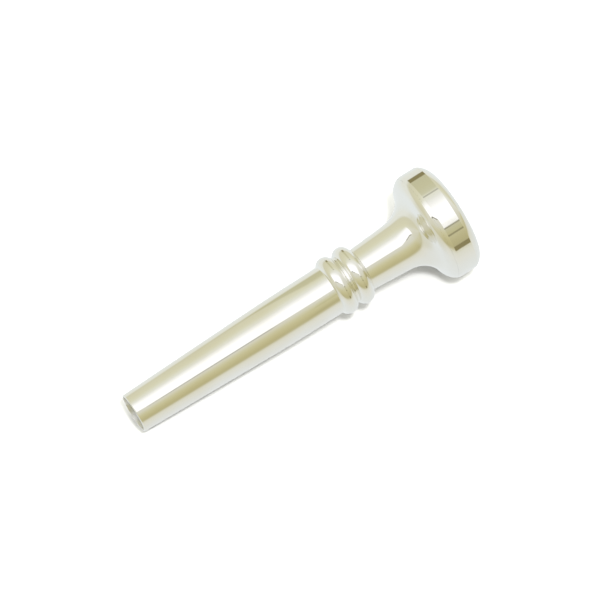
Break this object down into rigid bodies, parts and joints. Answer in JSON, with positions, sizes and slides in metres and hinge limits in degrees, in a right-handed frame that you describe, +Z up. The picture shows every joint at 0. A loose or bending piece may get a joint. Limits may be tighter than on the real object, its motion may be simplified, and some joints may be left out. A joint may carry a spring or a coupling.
{
  "type": "trumpet mouthpiece",
  "caption": "Polished brass-instrument mouthpiece: tapered shank with beads, flared cup and rounded rim, joined by screw threads with seal rings.",
  "frame": {"origin": "centre of the shank's flat end face, where the air passage leaves the mouthpiece", "axes": "+X along the axis from the shank's end to the rim; +Z up and +Y across are free, because the outside is round about X"},
  "size_m": [0.0877, 0.027, 0.027],
  "materials": {
    "plated_brass": "brass with bright polished silver plate",
    "seal_rubber": "smooth black nitrile rubber"
  },
  "bodies": {
    "shank": {"shank": "plated_brass"},
    "cup_seal": {"cup_seal": "seal_rubber"},
    "cup": {"cup": "plated_brass"},
    "rim_seal": {"rim_seal": "seal_rubber"},
    "rim": {"rim": "plated_brass"}
  },
  "joints": [
    {"name": "cup_travel", "type": "slide", "parent": "shank", "child": "cup_seal", "axis": [1, 0, 0], "range_m": [0, 0.0075]},
    {"name": "cup_turn", "type": "hinge", "parent": "cup_seal", "child": "cup", "pos_m": [0.0622, 0, 0], "axis": [1, 0, 0], "range_deg": [0, 2700]},
    {"name": "rim_travel", "type": "slide", "parent": "cup", "child": "rim_seal", "axis": [1, 0, 0], "range_m": [0, 0.0027]},
    {"name": "rim_turn", "type": "hinge", "parent": "rim_seal", "child": "rim", "pos_m": [0.08035, 0, 0], "axis": [1, 0, 0], "range_deg": [0, 1620]}
  ],
  "couplings": [
    {"joint": "cup_turn", "follows": "cup_travel", "rad_per_m": 6283.2},
    {"joint": "rim_turn", "follows": "rim_travel", "rad_per_m": 10472}
  ]
}
